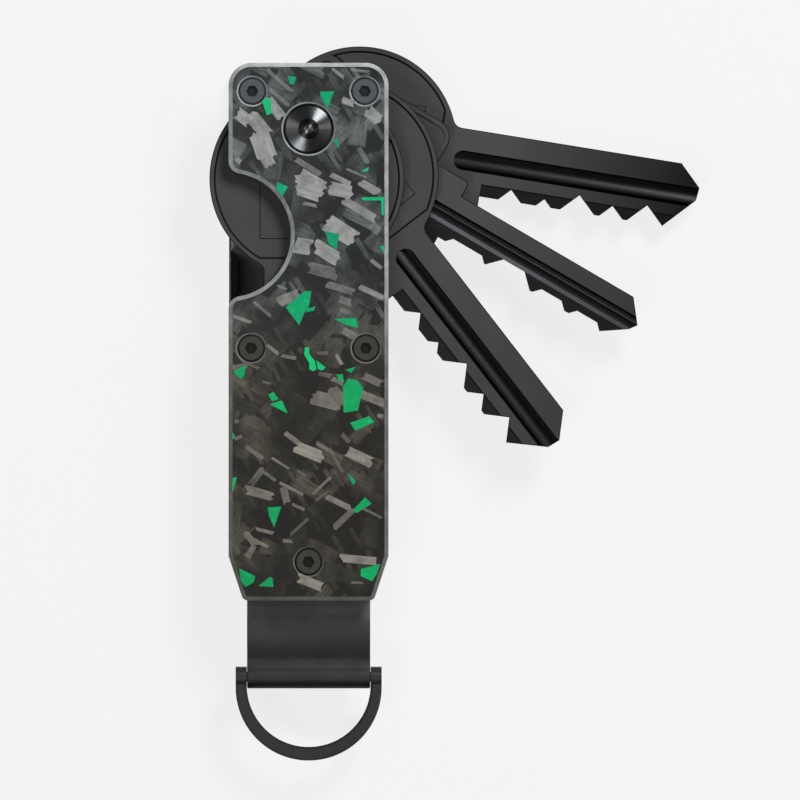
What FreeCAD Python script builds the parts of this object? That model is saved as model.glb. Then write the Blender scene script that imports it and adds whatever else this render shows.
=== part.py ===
import FreeCAD, Part
import math
import os

# Key organiser: a flat case of two scales on two liners, four keys that swing out of it on one
# pivot, and a folded strap with a D-ring at its tail.
# Millimetres. The origin is the centre of the case's rear face. +Z points out of the front face,
# +Y points to the pivot end, and the keys open towards +X.

Vec = FreeCAD.Vector
Z_AXIS = Vec(0, 0, 1)
X_AXIS = Vec(1, 0, 0)

# Layers, from the rear face to the front face.
scale_thick = 1.6
liner_thick = 1.2
key_thick = 2.0
key_gap = 0.4
key_count = 4
bay_low = scale_thick + liner_thick
bay_deep = key_count * key_thick + (key_count + 1) * key_gap
bay_high = bay_low + bay_deep
case_deep = bay_deep + 2 * bay_low
mid_z = case_deep / 2

# Outline of the case.
case_half_wide = 11.15
case_half_long = 37.5
top_corner_r = 3.2
tail_taper_y = -31.3
tail_taper_in = 2.05
tail_corner_r = 0.9
edge_bevel = 0.55
liner_inset = 0.3
notch_y = 13.5
notch_r = 8.7
notch_lip_r = 1.75
liner_notch_drop = 0.35

# Screws. The heads sit in counterbores, a little below the scale's face.
pivot_y = 28.3
pivot_head_r = 3.25
pivot_recess_r = 3.55
pivot_cone_drop = 0.4
pivot_hex = 2.5
barrel_r = 2.3
barrel_bore_r = 1.25
pivot_shank_r = 1.2
head_below_face = 0.12
running_gap = 0.05
screw_head_r = 1.82
screw_head_high = 0.95
screw_recess_r = 1.95
screw_shank_r = 0.8
screw_hex = 1.5
recess_bevel = 0.22
upper_screws = (7.85, 33.55)
middle_screws = (8.0, -2.3)
tail_screw_y = -32.1
washer_r = 5.0
washer_play = 0.02

# Spine wall on the closed side, with tabs in edge slots of both liners.
wall_thick = 0.9
wall_low_y = -29.5
wall_high_y = 11.4
wall_key_gap = 0.3
tab_long = 5.0
tab_ys = (0.5, -12.5, -25.5)
tab_gap = 0.03

# Strap, spacers and D-ring.
strap_half_wide = 8.6
strap_thick = 0.9
strap_top_y = -28.6
spacer_end_y = -36.6
core_thick = 3.4
tail_post_r = 2.0
ring_y = -48.19
ring_pin_r = 0.7
pin_gap = 0.03
strap_pinch_w = 0.5
strap_pinch_r = 2.0
strap_slope = math.radians(34)
knuckle_r = 1.42
ring_inner_half = 8.65
ring_outer_half = 10.2
ring_inner_arc_y = -49.35
ring_outer_arc_y = -49.7
ring_thick = 1.9
ring_round = 0.3

# Keys. Each is drawn with u along the blade, away from the pivot, and v towards its plain edge.
# "open" is the angle it has turned out of the case, and head_u, head_v place its head's centre.
past_tip_u = 60
head_sunk = 0.25
head_step_wide = 0.28
panel_step_wide = 0.12
key_edge_bevel = 0.12
neck_fillet = 1.4
boss_r = 3.3

# Round-headed keys, about the centre of the head.
round_head_r = 13.6
round_rim = 0.6
head_flat_u = 11.2
round_plain_v = 4.47
round_land_v = -4.62
first_cut_u = 21.97
cut_pitch = 4.78
cut_depths = (1.6, 1.05, 2.4, 1.65, 2.5)
neck_v = -5.85
shoulder_v = -6.15
shoulder_u = 17.7
band_v = -2.87
band_deep = 0.3
channel_start_u = 13.3
channel_high_v = 1.4
channel_low_v = 0.85
channel_deep = 0.75
channel_sweep_r = 3.65
channel_steep = 0.2
slot_v = -1.1
slot_deep = 0.52
slot_half = 0.25
back_groove = {"v": 1.9, "half": 0.8, "deep": 0.6, "start_u": 14.4}
panel_half = 6.6
panel_low_u = -2.8
panel_high_u = 8.4
panel_raise = 0.13
ring_hole = (-6.15, 8.85)
ring_hole_r = 1.45
ring_hole_sink_r = 1.85
ring_hole_rim_r = 2.7
round_keys = {
    "key_rear": {"layer": 0, "open": 80.84, "head_u": 7.33, "head_v": -0.85},
    "key_mid_front": {"layer": 2, "open": 37.72, "head_u": 7.9, "head_v": -0.35},
    "key_front": {"layer": 3, "open": 0.0, "head_u": 6.96, "head_v": -0.24},
}

# The square-headed key, about the pivot.
square_key = {"layer": 1, "open": 59.73}
square_low_u = -4.6
square_high_u = 17.9
square_half = 10.3
square_low_corner_r = 6.0
square_high_corner_r = 2.6
square_rim = 0.7
square_collar_u = 23.2
square_collar_r = 0.7
square_plain_v = 2.65
square_land_v = -3.9
square_cuts = [(27.5, 2.3, 0.85), (34.4, 1.7, 1.9), (41.0, 1.6, 1.0), (46.8, 1.6, 0.9)]
square_groove = {"v": -0.15, "half": 0.6, "deep": 0.6, "start_u": 19.5}
square_side_groove = {"v": -1.12, "half": 0.18, "deep": 0.25, "start_u": 19.5}
square_band = {"start_u": 20.5, "high_v": -1.35, "low_v": -1.9}


def disc(radius, high, x=0.0, y=0.0, z=0.0):
    return Part.makeCylinder(radius, high, Vec(x, y, z), Z_AXIS)


def slab(x0, x1, y0, y1, z0, z1):
    return Part.makeBox(x1 - x0, y1 - y0, z1 - z0, Vec(x0, y0, z0))


def prism(points, z0, high):
    """A straight-sided solid on a polygon of (x, y) points."""
    corners = [Vec(x, y, z0) for x, y in points]
    wire = Part.makePolygon(corners + corners[:1])
    return Part.Face(wire).extrude(Vec(0, 0, high))


def upright_edges(shape, points, reach=0.05):
    """The edges along Z that stand on the given (x, y) points."""
    found = []
    for edge in shape.Edges:
        first, last = edge.Vertexes[0].Point, edge.Vertexes[-1].Point
        if abs(first.z - last.z) < 1e-6 or math.hypot(first.x - last.x, first.y - last.y) > 1e-6:
            continue
        if any(math.hypot(first.x - x, first.y - y) < reach for x, y in points):
            found.append(edge)
    return found


def rim_edges(shape, z, keep):
    """The edges that lie at height z and whose middle passes keep(x, y)."""
    found = []
    for edge in shape.Edges:
        if any(abs(vertex.Z - z) > 1e-4 for vertex in edge.Vertexes):
            continue
        middle = edge.valueAt((edge.FirstParameter + edge.LastParameter) / 2)
        if abs(middle.z - z) < 1e-4 and keep(middle.x, middle.y):
            found.append(edge)
    return found


def hex_prism(across_flats, high, x, y, z):
    corner = across_flats / math.sqrt(3)
    turns = [math.radians(60 * i) for i in range(6)]
    return prism([(x + corner * math.cos(t), y + corner * math.sin(t)) for t in turns], z, high)


def screw_places():
    """The four screws that hold a scale to its liner."""
    return [(side * x, y) for x, y in (upper_screws, middle_screws) for side in (-1, 1)]


def turned_over(shape):
    """A front piece turned about +Y, through the case's middle, to serve at the rear."""
    copy = shape.copy()
    copy.rotate(Vec(0, 0, mid_z), Vec(0, 1, 0), 180)
    return copy


# Case

def case_plate(inset, z0, high, notch_side, notch_drop):
    """A plate of the case's outline, drawn in by inset, with a thumb notch on one side."""
    half = case_half_wide - inset
    top = case_half_long - inset
    end_half = case_half_wide - tail_taper_in - inset
    outline = [
        (-half, top), (half, top), (half, tail_taper_y),
        (end_half, -top), (-end_half, -top), (-half, tail_taper_y),
    ]
    plate = prism(outline, z0, high)
    top_corners = upright_edges(plate, outline[:2])
    plate = plate.makeFillet(top_corner_r - inset, top_corners)
    plate = plate.makeFillet(tail_corner_r, upright_edges(plate, outline[3:5]))
    notch_x = notch_side * (case_half_wide + notch_drop)
    middle_y = notch_y - notch_drop
    plate = plate.cut(disc(notch_r, high, notch_x, middle_y, z0))
    rise = math.sqrt(notch_r ** 2 - (abs(notch_x) - half) ** 2)
    lips = [(notch_side * half, middle_y + rise), (notch_side * half, middle_y - rise)]
    return plate.makeFillet(notch_lip_r, upright_edges(plate, lips))


def front_scale():
    z0 = bay_high + liner_thick
    scale = case_plate(0, z0, scale_thick, -1, 0)
    scale = scale.makeChamfer(edge_bevel, rim_edges(scale, case_deep, lambda x, y: True))
    scale = scale.cut(disc(pivot_recess_r, scale_thick, 0, pivot_y, z0))
    seat = case_deep - head_below_face - screw_head_high
    for x, y in screw_places() + [(0, tail_screw_y)]:
        scale = scale.cut(disc(screw_shank_r + running_gap, scale_thick, x, y, z0))
        scale = scale.cut(disc(screw_recess_r, case_deep - seat, x, y, seat))
    recesses = [(0, pivot_y, pivot_recess_r)]
    recesses += [(x, y, screw_recess_r) for x, y in screw_places() + [(0, tail_screw_y)]]
    for x, y, radius in recesses:
        scale = scale.cut(Part.makeCone(radius, radius + recess_bevel, recess_bevel,
                                        Vec(x, y, case_deep - recess_bevel), Z_AXIS))
    return scale


def liner(z0, notch_side):
    plate = case_plate(liner_inset, z0, liner_thick, notch_side, liner_notch_drop)
    plate = plate.cut(disc(barrel_r + running_gap, liner_thick, 0, pivot_y, z0))
    for x, y in screw_places() + [(0, tail_screw_y)]:
        plate = plate.cut(disc(screw_shank_r + running_gap, liner_thick, x, y, z0))
    outer = -case_half_wide + liner_inset
    for y in tab_ys:
        half = tab_long / 2 + tab_gap
        plate = plate.cut(slab(outer - 1, outer + wall_thick + tab_gap, y - half, y + half,
                               z0, z0 + liner_thick))
    return plate


def closed_head_places():
    """Where the centres of the round heads lie when their keys are closed."""
    return [(key["head_v"], pivot_y - key["head_u"]) for key in round_keys.values()]


def spine_wall():
    outer = -case_half_wide + liner_inset
    wall = slab(outer, outer + wall_thick, wall_low_y, wall_high_y, bay_low, bay_high)
    for x, y in closed_head_places():
        wall = wall.cut(disc(round_head_r + wall_key_gap, bay_deep, x, y, bay_low))
    for y in tab_ys:
        tab = slab(outer, outer + wall_thick, y - tab_long / 2, y + tab_long / 2,
                   scale_thick + tab_gap, case_deep - scale_thick - tab_gap)
        wall = wall.fuse(tab)
    return wall.removeSplitter()


# Screws and pivot

def socket_head(radius, low_z, high, hex_across, hex_deep, cone_drop):
    """A round head that stands on low_z at the axis of +Z, with a coned face and a hex socket."""
    cone_high = cone_drop
    head = disc(radius, high - cone_high, z=low_z)
    cone = Part.makeCone(radius, radius * 0.35, cone_high, Vec(0, 0, low_z + high - cone_high))
    head = head.fuse(cone).removeSplitter()
    return head.cut(hex_prism(hex_across, hex_deep, 0, 0, low_z + high - hex_deep))


def small_screw(shank_low_z):
    """A scale or tail screw on the Z axis, head up, reaching down to shank_low_z."""
    seat = case_deep - head_below_face - screw_head_high
    head = disc(screw_head_r, screw_head_high, z=seat)
    top = case_deep - head_below_face
    head = head.makeChamfer(0.18, rim_edges(head, top, lambda x, y: True))
    head = head.cut(hex_prism(screw_hex, 0.7, 0, 0, top - 0.7))
    shank = disc(screw_shank_r, seat - shank_low_z, z=shank_low_z)
    return head.fuse(shank).removeSplitter()


def scale_screws():
    screw = small_screw(bay_high + 0.1)
    placed = []
    for x, y in screw_places():
        copy = screw.copy()
        copy.translate(Vec(x, y, 0))
        placed.append(copy)
    return Part.makeCompound(placed)


def tail_screw():
    screw = small_screw(mid_z + 1.5)
    screw.translate(Vec(0, tail_screw_y, 0))
    return screw


def pivot_screw():
    low = case_deep - scale_thick
    high = scale_thick - head_below_face
    head = socket_head(pivot_head_r, low, high, pivot_hex, 1.1, pivot_cone_drop)
    shank = disc(pivot_shank_r, low - bay_low - 2.2, z=bay_low + 2.2)
    screw = head.fuse(shank).removeSplitter()
    screw.translate(Vec(0, pivot_y, 0))
    return screw


def pivot_barrel():
    """The threaded post that the keys turn on, drawn with its head up and then turned over."""
    low = case_deep - scale_thick
    high = scale_thick - head_below_face
    head = socket_head(pivot_head_r, low, high, pivot_hex, 1.1, pivot_cone_drop)
    shank_low = scale_thick + 0.1
    shank = disc(barrel_r, low - shank_low, z=shank_low)
    bore = disc(barrel_bore_r, bay_deep, z=shank_low)
    barrel = head.fuse(shank).removeSplitter().cut(bore)
    barrel.translate(Vec(0, pivot_y, 0))
    return turned_over(barrel)


def key_washer(layer):
    z0 = bay_low + layer * (key_thick + key_gap) + washer_play
    high = key_gap - 2 * washer_play
    return disc(washer_r, high, 0, pivot_y, z0).cut(disc(barrel_r + running_gap, high, 0, pivot_y, z0))


# Keys

def bitting(cuts, land_v):
    """The cut edge of a blade, from the tip back: each cut is its middle u, the half width of its
    flat bottom, and its depth, with 45 degree sides."""
    points = []
    for u, half, depth in sorted(cuts, reverse=True):
        points += [(u + half + depth, land_v), (u + half, land_v + depth)]
        if half:
            points.append((u - half, land_v + depth))
        points.append((u - half - depth, land_v))
    return points


def groove(v, half, deep, start_u):
    """A round-bottomed groove along the front face, with a rounded start, as a cutting body."""
    radius = (half ** 2 + deep ** 2) / (2 * deep)
    axis_z = key_thick - deep + radius
    body = Part.makeCylinder(radius, past_tip_u - start_u, Vec(start_u, v, axis_z), X_AXIS)
    return body.fuse(Part.makeSphere(radius, Vec(start_u, v, axis_z)))


def channel():
    """The wide channel of a round key's blade: a steep wall, a slow rise, and a thin slot beside it."""
    def point(v, depth):
        return Vec(channel_start_u, v, key_thick - depth)

    def risen(v):
        return channel_deep - channel_sweep_r + math.sqrt(channel_sweep_r ** 2 - (channel_low_v - v) ** 2)

    steep_v, rise_end_v = channel_high_v - channel_steep, slot_v + slot_half
    middle_v, low_v = (steep_v + rise_end_v) / 2, slot_v - slot_half
    points = [point(rise_end_v, risen(rise_end_v)), point(slot_v, slot_deep), point(low_v, 0),
              point(low_v, -1), point(channel_high_v, -1), point(channel_high_v, 0),
              point(steep_v, risen(steep_v))]
    edges = [Part.LineSegment(a, b).toShape() for a, b in zip(points, points[1:])]
    edges.append(Part.Arc(points[-1], point(middle_v, risen(middle_v)), points[0]).toShape())
    long = past_tip_u - channel_start_u
    body = Part.Face(Part.Wire(Part.__sortEdges__(edges))).extrude(Vec(long, 0, 0))
    end_r = (channel_high_v - low_v) / 2
    end_u, end_v = channel_start_u + end_r, (channel_high_v + low_v) / 2
    plan = disc(end_r, 2 * key_thick, end_u, end_v)
    plan = plan.fuse(slab(end_u, past_tip_u, end_v - end_r, end_v + end_r, 0, 2 * key_thick))
    return body.common(plan)


def bevelled(blank):
    """Takes the sharpness off a key's outline on both faces."""
    edges = rim_edges(blank, 0, lambda x, y: True) + rim_edges(blank, key_thick, lambda x, y: True)
    return blank.makeChamfer(key_edge_bevel, edges)


def round_key_blank():
    """A round-headed key about its head's centre, with its cut edge and its ring hole."""
    cuts = [(first_cut_u + cut_pitch * i, 0, depth) for i, depth in enumerate(cut_depths)]
    outline = [(0, round_plain_v), (44.9, round_plain_v), (47.9, 1.45), (47.7, -0.35)]
    outline += bitting(cuts, round_land_v)
    outline += [(shoulder_u, round_land_v), (shoulder_u, shoulder_v), (8, neck_v), (0, neck_v)]
    blade = prism(outline, 0, key_thick)
    blank = disc(round_head_r, key_thick).fuse(blade).removeSplitter()
    plain_joint = math.sqrt(round_head_r ** 2 - round_plain_v ** 2)
    neck_joint = [e.Vertexes[0].Point for e in blank.Edges
                  if abs(math.hypot(e.Vertexes[0].X, e.Vertexes[0].Y) - round_head_r) < 1e-3
                  and e.Vertexes[0].Y < -5 and e.Vertexes[0].X > 0]
    corners = [(plain_joint, round_plain_v), (neck_joint[0].x, neck_joint[0].y)]
    blank = bevelled(blank.makeFillet(neck_fillet, upright_edges(blank, corners)))
    x, y = ring_hole
    sink = ring_hole_sink_r - ring_hole_r
    front = Part.makeCone(ring_hole_r, ring_hole_sink_r, sink, Vec(x, y, key_thick - sink), Z_AXIS)
    back = Part.makeCone(ring_hole_sink_r, ring_hole_r, sink, Vec(x, y, 0), Z_AXIS)
    return blank.cut(disc(ring_hole_r, key_thick, x, y)).cut(front).cut(back)


def sunk_field(pivot_u, pivot_v):
    """The pocket in a round head's face, with sloped sides: inside the rim, round its islands."""
    radius = round_head_r - round_rim
    field = Part.makeCone(radius - head_step_wide, radius, head_sunk)
    field = field.cut(step_slab(head_flat_u, round_head_r, round_head_r, head_step_wide, head_sunk))
    panel = prism([(panel_low_u, -panel_half), (panel_high_u, -panel_half),
                   (panel_high_u, panel_half), (panel_low_u, panel_half)], 0, panel_raise)
    panel = panel.makeChamfer(panel_step_wide, rim_edges(panel, panel_raise, lambda x, y: True))
    boss = Part.makeCone(boss_r + head_step_wide, boss_r, head_sunk, Vec(pivot_u, pivot_v, 0), Z_AXIS)
    x, y = ring_hole
    eyelet = Part.makeCone(ring_hole_rim_r + head_step_wide, ring_hole_rim_r, head_sunk,
                           Vec(x, y, 0), Z_AXIS)
    return field.cut(panel).cut(boss).cut(eyelet)


def step_slab(near_u, far_u, half, slope, high):
    """A block across the head whose near side leans out by slope over its height."""
    side = [Vec(near_u - slope, -half, 0), Vec(far_u, -half, 0), Vec(far_u, -half, high),
            Vec(near_u, -half, high)]
    return Part.Face(Part.makePolygon(side + side[:1])).extrude(Vec(0, 2 * half, 0))


def cut_both_faces(key, pocket):
    """Sinks a head's pocket, drawn with its floor at z = 0, into both faces of a key."""
    back = pocket.mirror(Vec(0, 0, head_sunk / 2), Z_AXIS)
    pocket.translate(Vec(0, 0, key_thick - head_sunk))
    return key.cut(pocket).cut(back)


def round_key(head_u, head_v):
    key = round_key_blank()
    pocket = sunk_field(-head_u, -head_v)
    key = cut_both_faces(key, pocket)
    key = key.cut(channel())
    back = groove(**back_groove)
    back.rotate(Vec(0, 0, key_thick / 2), X_AXIS, 180)
    key = key.cut(back)
    key = key.cut(slab(shoulder_u, past_tip_u, -round_head_r, band_v, key_thick - band_deep, key_thick))
    key.translate(Vec(head_u, head_v, 0))
    return key.cut(disc(barrel_r + running_gap, key_thick))


def sloped_band(start_u, high_v, low_v):
    """The milled band along the cut edge of the square-headed key, with a sloped side."""
    low = key_thick - band_deep
    side = [Vec(start_u, high_v, key_thick), Vec(start_u, low_v, low), Vec(start_u, -square_half, low),
            Vec(start_u, -square_half, key_thick)]
    return Part.Face(Part.makePolygon(side + side[:1])).extrude(Vec(past_tip_u - start_u, 0, 0))


def square_head(inset, high):
    """The square head's outline, drawn in by inset, with rounder corners on the pivot's side."""
    low_u, high_u, half = square_low_u + inset, square_high_u - inset, square_half - inset
    head = slab(low_u, high_u, -half, half, 0, high)
    head = head.makeFillet(square_low_corner_r - inset,
                           upright_edges(head, [(low_u, -half), (low_u, half)]))
    return head.makeFillet(square_high_corner_r - inset,
                           upright_edges(head, [(high_u, -half), (high_u, half)]))


def square_headed_key():
    head = square_head(0, key_thick)
    collar_low, collar_high = -5.9, 4.88
    collar = slab(square_high_u - 1, square_collar_u, collar_low, collar_high, 0, key_thick)
    collar = collar.makeFillet(square_collar_r, upright_edges(
        collar, [(square_collar_u, collar_high), (square_collar_u, collar_low)]))
    outline = [(20, square_plain_v), (51.0, square_plain_v), (53.5, -0.5), (52.7, -1.6)]
    outline += bitting(square_cuts, square_land_v)
    outline += [(20, square_land_v)]
    key = bevelled(head.fuse(collar).fuse(prism(outline, 0, key_thick)).removeSplitter())
    pocket = square_head(square_rim, head_sunk).cut(disc(boss_r, head_sunk))
    key = cut_both_faces(key, pocket)
    key = key.cut(groove(**square_groove)).cut(groove(**square_side_groove))
    key = key.cut(sloped_band(**square_band))
    return key.cut(disc(barrel_r + running_gap, key_thick))


def placed_key(key, layer, open_angle):
    """Puts a key on the pivot in its layer. A closed key points to -Y, its plain edge to +X."""
    z0 = bay_low + key_gap + layer * (key_thick + key_gap)
    key.rotate(Vec(0, 0, 0), Z_AXIS, open_angle - 90)
    key.translate(Vec(0, pivot_y, z0))
    return key


# Tail: post, spacers, strap and D-ring

def tail_post():
    post = disc(tail_post_r, bay_deep, 0, tail_screw_y, bay_low)
    return post.cut(disc(screw_shank_r + running_gap, bay_deep, 0, tail_screw_y, bay_low))


def tail_spacer(z0, high):
    block = slab(-strap_half_wide, strap_half_wide, spacer_end_y, strap_top_y, z0, z0 + high)
    return block.cut(disc(tail_post_r + running_gap, high, 0, tail_screw_y, z0))


def strap_side(offset, side):
    """One side of the strap's profile, from its tail to the ring's pin, offset off its middle."""
    loop_r = ring_pin_r + pin_gap + strap_thick / 2
    tail_w = (core_thick + strap_thick) / 2
    bend_r = (tail_w - strap_pinch_w) / (1 - math.cos(strap_slope)) - strap_pinch_r
    reach = strap_pinch_r + loop_r
    pinch_y = ring_y + math.sqrt(reach ** 2 - (strap_pinch_r + strap_pinch_w) ** 2)
    bend_y = pinch_y + (bend_r + strap_pinch_r) * math.sin(strap_slope)
    wrap = math.atan2(pinch_y - ring_y, strap_pinch_w + strap_pinch_r)

    def at(y, w):
        return Vec(0, y, mid_z + side * w)

    def on_bend(turn):
        r = bend_r + offset
        return at(bend_y - r * math.sin(turn), tail_w - bend_r + r * math.cos(turn))

    def on_pinch(turn):
        r = strap_pinch_r - offset
        middle_w = strap_pinch_w + strap_pinch_r
        return at(pinch_y + r * math.sin(turn), middle_w - r * math.cos(turn))

    def on_loop(turn):
        r = loop_r + offset
        return at(ring_y + r * math.sin(turn), r * math.cos(turn))

    return [
        Part.LineSegment(at(strap_top_y, tail_w + offset), on_bend(0)).toShape(),
        Part.Arc(on_bend(0), on_bend(strap_slope / 2), on_bend(strap_slope)).toShape(),
        Part.Arc(on_pinch(strap_slope), on_pinch(0), on_pinch(-wrap)).toShape(),
        Part.Arc(on_loop(wrap), on_loop((wrap - math.pi / 2) / 2), on_loop(-math.pi / 2)).toShape(),
    ]


def strap():
    half = strap_thick / 2
    outer = strap_side(half, 1) + strap_side(half, -1)
    inner = strap_side(-half, 1) + strap_side(-half, -1)
    tail_w = (core_thick + strap_thick) / 2
    ends = [Part.LineSegment(Vec(0, strap_top_y, mid_z + side * (tail_w - half)),
                             Vec(0, strap_top_y, mid_z + side * (tail_w + half))).toShape()
            for side in (1, -1)]
    wire = Part.Wire(Part.__sortEdges__(outer + inner + ends))
    strip = Part.Face(wire).extrude(Vec(2 * strap_half_wide, 0, 0))
    strip.translate(Vec(-strap_half_wide, 0, 0))
    return strip.cut(disc(tail_post_r + running_gap, bay_deep, 0, tail_screw_y, bay_low))


def ring_outline(half, arc_y, z0, high):
    """A half-round loop's outline, filled: straight from the pin to arc_y, then a half circle."""
    straight = slab(-half, half, arc_y, ring_y, z0, z0 + high)
    return straight.fuse(disc(half, high, 0, arc_y, z0)).removeSplitter()


def ring_bow():
    low = mid_z - ring_thick / 2
    bow = ring_outline(ring_outer_half, ring_outer_arc_y, low, ring_thick)
    bow = bow.cut(slab(-ring_outer_half, ring_outer_half, ring_y, ring_y + 20, low, low + ring_thick))
    hole = ring_outline(ring_inner_half, ring_inner_arc_y, low, ring_thick)
    hole = hole.fuse(slab(-ring_inner_half, ring_inner_half, ring_y, ring_y + 1, low, low + ring_thick))
    bow = bow.cut(hole.removeSplitter())
    edges = rim_edges(bow, low, lambda x, y: y < ring_y - 0.01)
    edges += rim_edges(bow, low + ring_thick, lambda x, y: y < ring_y - 0.01)
    bow = bow.makeChamfer(ring_round, edges)
    wide = ring_outer_half - ring_inner_half
    for x0 in (-ring_outer_half, ring_inner_half):
        bow = bow.fuse(Part.makeCylinder(knuckle_r, wide, Vec(x0, ring_y, mid_z), X_AXIS))
    bore = Part.makeCylinder(ring_pin_r + 0.01, 2 * ring_outer_half,
                             Vec(-ring_outer_half, ring_y, mid_z), X_AXIS)
    return bow.removeSplitter().cut(bore)


def ring_pin():
    half = ring_outer_half - 0.1
    return Part.makeCylinder(ring_pin_r, 2 * half, Vec(-half, ring_y, mid_z), X_AXIS)


def build():
    side_spacer = (bay_deep - core_thick) / 2 - strap_thick
    nodes = {
        "front_scale": front_scale(),
        "rear_scale": turned_over(front_scale()),
        "front_liner": liner(bay_high, -1),
        "rear_liner": liner(scale_thick, 1),
        "spine_wall": spine_wall(),
        "pivot_barrel": pivot_barrel(),
        "pivot_screw": pivot_screw(),
        "front_scale_screws": scale_screws(),
        "rear_scale_screws": turned_over(scale_screws()),
        "front_tail_screw": tail_screw(),
        "rear_tail_screw": turned_over(tail_screw()),
        "tail_post": tail_post(),
        "rear_strap_spacer": tail_spacer(bay_low, side_spacer),
        "strap_core_spacer": tail_spacer(mid_z - core_thick / 2, core_thick),
        "front_strap_spacer": tail_spacer(bay_high - side_spacer, side_spacer),
        "strap": strap(),
        "ring_bow": ring_bow(),
        "ring_pin": ring_pin(),
    }
    for layer in range(key_count + 1):
        nodes["key_washer_%d" % (layer + 1)] = key_washer(layer)
    for name, key in round_keys.items():
        nodes[name] = placed_key(round_key(key["head_u"], key["head_v"]), key["layer"], key["open"])
    nodes["key_mid_rear"] = placed_key(square_headed_key(), square_key["layer"], square_key["open"])
    return nodes


os.makedirs("parts", exist_ok=True)
for name, shape in build().items():
    shape.exportStep("parts/%s.step" % name)
    print("%-20s solids %d valid %s volume %.1f" % (name, len(shape.Solids), shape.isValid(), shape.Volume))
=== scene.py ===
import math
import random

import bpy
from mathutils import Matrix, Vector


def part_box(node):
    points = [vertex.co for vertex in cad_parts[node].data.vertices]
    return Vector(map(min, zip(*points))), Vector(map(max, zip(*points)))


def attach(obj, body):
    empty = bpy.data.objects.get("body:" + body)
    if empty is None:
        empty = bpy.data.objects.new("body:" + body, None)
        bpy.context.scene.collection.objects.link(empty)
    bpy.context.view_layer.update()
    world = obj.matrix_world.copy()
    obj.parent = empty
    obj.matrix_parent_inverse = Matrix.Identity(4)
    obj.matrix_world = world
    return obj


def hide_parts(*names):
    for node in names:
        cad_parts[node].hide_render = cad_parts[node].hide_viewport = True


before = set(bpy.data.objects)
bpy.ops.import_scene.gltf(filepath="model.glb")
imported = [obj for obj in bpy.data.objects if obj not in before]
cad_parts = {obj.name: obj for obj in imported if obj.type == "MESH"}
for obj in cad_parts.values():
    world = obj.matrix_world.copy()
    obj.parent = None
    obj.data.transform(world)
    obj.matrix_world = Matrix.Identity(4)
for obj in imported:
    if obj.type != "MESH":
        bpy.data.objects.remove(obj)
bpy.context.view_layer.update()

# Key organiser: the CAD frame with its finishes, the carbon chips and green flakes set in the resin
# of its scales, and the folded leather strap. Lengths are in millimetres until they reach Blender.

mm = 0.001


def box_mm(node):
    """Lowest and highest corner of a CAD node, in millimetres."""
    low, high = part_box(node)
    return low / mm, high / mm


scale_low, scale_high = box_mm("front_scale")
front_face = scale_high.z
rear_face = box_mm("rear_scale")[0].z
middle_z = (front_face + rear_face) / 2
screw_face = box_mm("front_scale_screws")[1].z
pivot_low, pivot_high = box_mm("pivot_screw")
pivot_x, pivot_y = (pivot_low.x + pivot_high.x) / 2, (pivot_low.y + pivot_high.y) / 2
bevel_wide = 0.58
flat_half_wide = scale_high.x - bevel_wide

# Chips and flakes reach this far into the scale and stand this far out of it. Each layer of chips lies
# a step above the one that it crosses, and the flakes lie above them all.
inlay_sink = 0.05
chip_lift = 0.008
chip_step = 0.004
flake_lift = 0.07
flake_layers = 4

# A chip's strands: how wide each one is, how far the chip's end may run in or out, as a length and as
# shares of its width and length, how far from one strand to the next, and how far a strand strays
# sideways, as a share of its own width.
strand_wide = 0.36
end_notch = 0.35
end_notch_by_width = 0.4
end_notch_by_length = 0.12
strand_jump = 1.6
strand_stray = 0.12

# A chip carries its length and width for its finish, in this many millimetres.
stored_unit = 10

# The rear face's strewn chips: where they may lie, their lengths and widths, their tilts in degrees,
# how clearly they show, and how far they stay clear of the edge, the notch and the screws.
strewn_seed = 11
strewn_chip_count = 88
strewn_chip_x, strewn_chip_y = (-10.2, 10.2), (-34, 36)
strewn_lengths = (1.2, 4.6)
strewn_widths = (0.4, 0.6, 1.0, 1.5, 2.1)
strewn_tilts = (-30, -22, -40, -28, 45, 60)
strewn_shown = (0.35, 0.95)
strewn_chip_clear = 0.4

# The rear face's strewn flakes: where they may lie, their radii and numbers of corners, how far out each
# corner is, as a share of the radius, how flat they are, how bright, and how far they stay clear.
strewn_flake_count = 27
strewn_flake_x, strewn_flake_y = (-9.4, 9.4), (-33, 35)
strewn_radii = (0.6, 1.9)
strewn_corners = (3, 4, 4, 5)
strewn_reach = (0.6, 1.1)
strewn_squash = 0.8
strewn_bright = (0.05, 0.8)
strewn_flake_clear = 0.1

# What the strewn pieces keep clear of: the slanted tail and the rounded top, the thumb notch, and the
# screws' counterbores.
tail_margin, top_margin = 3, 1
notch_y, notch_r = 13.5, 9.3
pivot_recess_r, screw_recess_r = 3.8, 2.2
screw_places = ((7.85, 33.55), (8.0, -2.3))
tail_screw_y = -32.1

# The angle that each key has swung out of the case, where its blade starts, how light the milled band
# by its teeth is, partly its own finish and partly painted shade, and from where, and to what share, a
# painted reflection darkens the blade towards the tip. The square-headed key has a channel in painted shade
# and a bevel with a painted highlight, each between two heights across the blade. Gloss is the roughness of
# the channels.
keys = {
    "key_rear": {"open": 80.84, "blade": 20.5, "band": 14, "tip_shade_from": 27, "tip": 0.01, "gloss": 0.23},
    "key_mid_rear": {"open": 59.73, "blade": 19.0, "band": 22, "tip_shade_from": 26, "tip": 0.5, "gloss": 0.46,
                     "dark": (-1.35, 0.45), "bevel": (-1.95, -1.4)},
    "key_mid_front": {"open": 37.72, "blade": 21.1, "band": 28, "tip_shade_from": 22, "tip": 0.7, "gloss": 0.23},
    "key_front": {"open": 0.0, "blade": 20.2, "band": 30, "tip_shade_from": 34, "tip": 0.7, "gloss": 0.23},
}
key_reach = 54
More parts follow.
